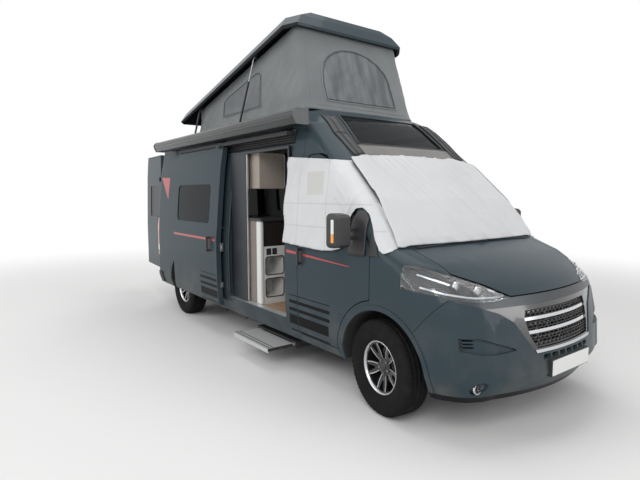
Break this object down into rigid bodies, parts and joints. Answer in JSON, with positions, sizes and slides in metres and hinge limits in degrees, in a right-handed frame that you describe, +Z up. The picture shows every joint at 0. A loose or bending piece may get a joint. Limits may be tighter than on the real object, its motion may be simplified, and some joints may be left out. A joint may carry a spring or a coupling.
{
  "type": "camper van with raised roof",
  "caption": "High-roof panel camper van with raised rear-hinged sleeping roof, open sliding side door, side awning, entry step and windscreen cover.",
  "frame": {"origin": "on the ground, below the middle of the whole outline with the right rear door open", "axes": "+X forward, +Y to the vehicle's left, +Z up"},
  "size_m": [6.9498, 2.508, 3.5641],
  "materials": {
    "body_paint": "slate blue-grey gloss paint",
    "black_plastic": "grained black plastic",
    "tinted_glass": "tinted safety glass",
    "lamp_clear": "clear lamp cover",
    "lamp_red": "red lamp lens",
    "bright_trim": "bright plated trim",
    "alloy": "black and machined alloy",
    "rubber": "road tyre rubber",
    "chassis_steel": "painted chassis steel",
    "cast_metal": "cast metal",
    "awning_metal": "anthracite coated aluminium",
    "tent_cloth": "mid grey coated tent cloth",
    "cover_cloth": "white quilted cover cloth",
    "seat_cloth": "dark seat cloth",
    "furniture": "laminated furniture board",
    "cabin_plastic": "soft grained cabin plastic",
    "step_metal": "ribbed step aluminium"
  },
  "bodies": {
    "root": {"roof_panel": "body_paint", "side_left": "body_paint", "side_right": "body_paint", "cab_frame": "body_paint", "front_wings": "body_paint", "front_bumper": "body_paint", "grille": "black_plastic", "nose_band": "black_plastic", "grille_bars": "bright_trim", "headlamps": "lamp_clear", "headlamp_bowls": "black_plastic", "tail_lamps": "lamp_red", "rear_bumper": "black_plastic", "windows": "tinted_glass", "sliding_door": "body_paint", "door_rails": "black_plastic", "awning": "awning_metal", "underbody": "chassis_steel", "wheel_liners": "black_plastic", "engine_block": "cast_metal", "front_frame": "chassis_steel", "front_subframe": "chassis_steel", "rear_axle": "chassis_steel", "roof_brackets": "chassis_steel", "roof_canvas": "tent_cloth", "screen_cover": "cover_cloth", "dashboard": "cabin_plastic", "cab_seats": "seat_cloth", "kitchen_unit": "furniture", "rear_bed": "furniture", "step_housing": "black_plastic"},
    "bonnet": {"bonnet": "body_paint"},
    "cab_door_left": {"cab_door_left": "body_paint", "cab_window_left": "tinted_glass", "mirror_left": "black_plastic", "cover_flap_left": "cover_cloth"},
    "cab_door_right": {"cab_door_right": "body_paint", "cab_window_right": "tinted_glass", "mirror_right": "black_plastic", "cover_flap_right": "cover_cloth"},
    "rear_door_left": {"rear_door_left": "body_paint", "rear_window_left": "tinted_glass"},
    "rear_door_right": {"rear_door_right": "body_paint", "rear_window_right": "tinted_glass"},
    "roof_arms": {"roof_arms": "chassis_steel"},
    "pop_roof": {"pop_roof": "body_paint", "roof_lugs": "chassis_steel"},
    "strut_tubes": {"strut_tubes": "black_plastic"},
    "strut_rods": {"strut_rods": "bright_trim"},
    "entry_step": {"step_tread": "step_metal"},
    "knuckle_left": {"knuckle_left": "cast_metal"},
    "knuckle_right": {"knuckle_right": "cast_metal"},
    "wheel_front_left": {"tyre_front_left": "rubber", "rim_front_left": "alloy"},
    "wheel_front_right": {"tyre_front_right": "rubber", "rim_front_right": "alloy"},
    "wheel_rear_left": {"tyre_rear_left": "rubber", "rim_rear_left": "alloy"},
    "wheel_rear_right": {"tyre_rear_right": "rubber", "rim_rear_right": "alloy"}
  },
  "joints": [
    {"name": "bonnet_hinge", "type": "hinge", "parent": "root", "child": "bonnet", "pos_m": [2.66287, 0, 1.296], "axis": [0, -1, 0], "range_deg": [0, 50]},
    {"name": "cab_door_left_hinge", "type": "hinge", "parent": "root", "child": "cab_door_left", "pos_m": [2.41687, 1.03, 1], "axis": [0, 0, -1], "range_deg": [0, 70]},
    {"name": "cab_door_right_hinge", "type": "hinge", "parent": "root", "child": "cab_door_right", "pos_m": [2.41687, -1.03, 1], "axis": [0, 0, 1], "range_deg": [0, 70]},
    {"name": "rear_door_left_hinge", "type": "hinge", "parent": "root", "child": "rear_door_left", "pos_m": [-2.53713, 0.945, 1.3], "axis": [0, 0, -1], "range_deg": [0, 180]},
    {"name": "rear_door_right_hinge", "type": "hinge", "parent": "root", "child": "rear_door_right", "pos_m": [-2.53713, -0.945, 1.3], "axis": [0, 0, 1], "range_deg": [-86, 94]},
    {"name": "roof_arm_hinge", "type": "hinge", "parent": "root", "child": "roof_arms", "pos_m": [-1.53513, 0, 2.535], "axis": [0, 1, 0], "range_deg": [0, 54.4], "deforming": ["roof_canvas"]},
    {"name": "roof_hinge", "type": "hinge", "parent": "roof_arms", "child": "pop_roof", "pos_m": [-1.32513, 0, 2.88], "axis": [0, 1, 0], "range_deg": [-41.8, 0]},
    {"name": "strut_hinge", "type": "hinge", "parent": "root", "child": "strut_tubes", "pos_m": [-0.14213, 0, 2.54], "axis": [0, 1, 0], "range_deg": [0, 60.3]},
    {"name": "strut_slide", "type": "slide", "parent": "strut_tubes", "child": "strut_rods", "axis": [0.4744, 0, 0.8803], "range_m": [-0.1775, 0]},
    {"name": "step_slide", "type": "slide", "parent": "root", "child": "entry_step", "axis": [0, 1, 0], "range_m": [0, 0.295]},
    {"name": "steer_left", "type": "hinge", "parent": "root", "child": "knuckle_left", "pos_m": [2.52687, 0.8, 0.372], "axis": [0, 0, 1], "range_deg": [-29, 43]},
    {"name": "spin_front_left", "type": "hinge", "parent": "knuckle_left", "child": "wheel_front_left", "pos_m": [2.53966, 0.90422, 0.372], "axis": [0.1219, 0.9925, 0], "continuous": true},
    {"name": "spin_rear_left", "type": "hinge", "parent": "root", "child": "wheel_rear_left", "pos_m": [-1.50813, 0.895, 0.372], "axis": [0, 1, 0], "continuous": true},
    {"name": "steer_right", "type": "hinge", "parent": "root", "child": "knuckle_right", "pos_m": [2.52687, -0.8, 0.372], "axis": [0, 0, 1], "range_deg": [-29, 43]},
    {"name": "spin_front_right", "type": "hinge", "parent": "knuckle_right", "child": "wheel_front_right", "pos_m": [2.51407, -0.90422, 0.372], "axis": [0.1219, 0.9925, 0], "continuous": true},
    {"name": "spin_rear_right", "type": "hinge", "parent": "root", "child": "wheel_rear_right", "pos_m": [-1.50813, -0.895, 0.372], "axis": [0, 1, 0], "continuous": true}
  ],
  "couplings": [
    {"joint": "roof_hinge", "follows": "roof_arm_hinge", "ratio": -0.76654},
    {"joint": "strut_hinge", "follows": "roof_arm_hinge", "ratio": 1.1048},
    {"joint": "strut_slide", "follows": "roof_arm_hinge", "m_per_rad": -0.186},
    {"joint": "steer_right", "follows": "steer_left", "ratio": 1}
  ]
}
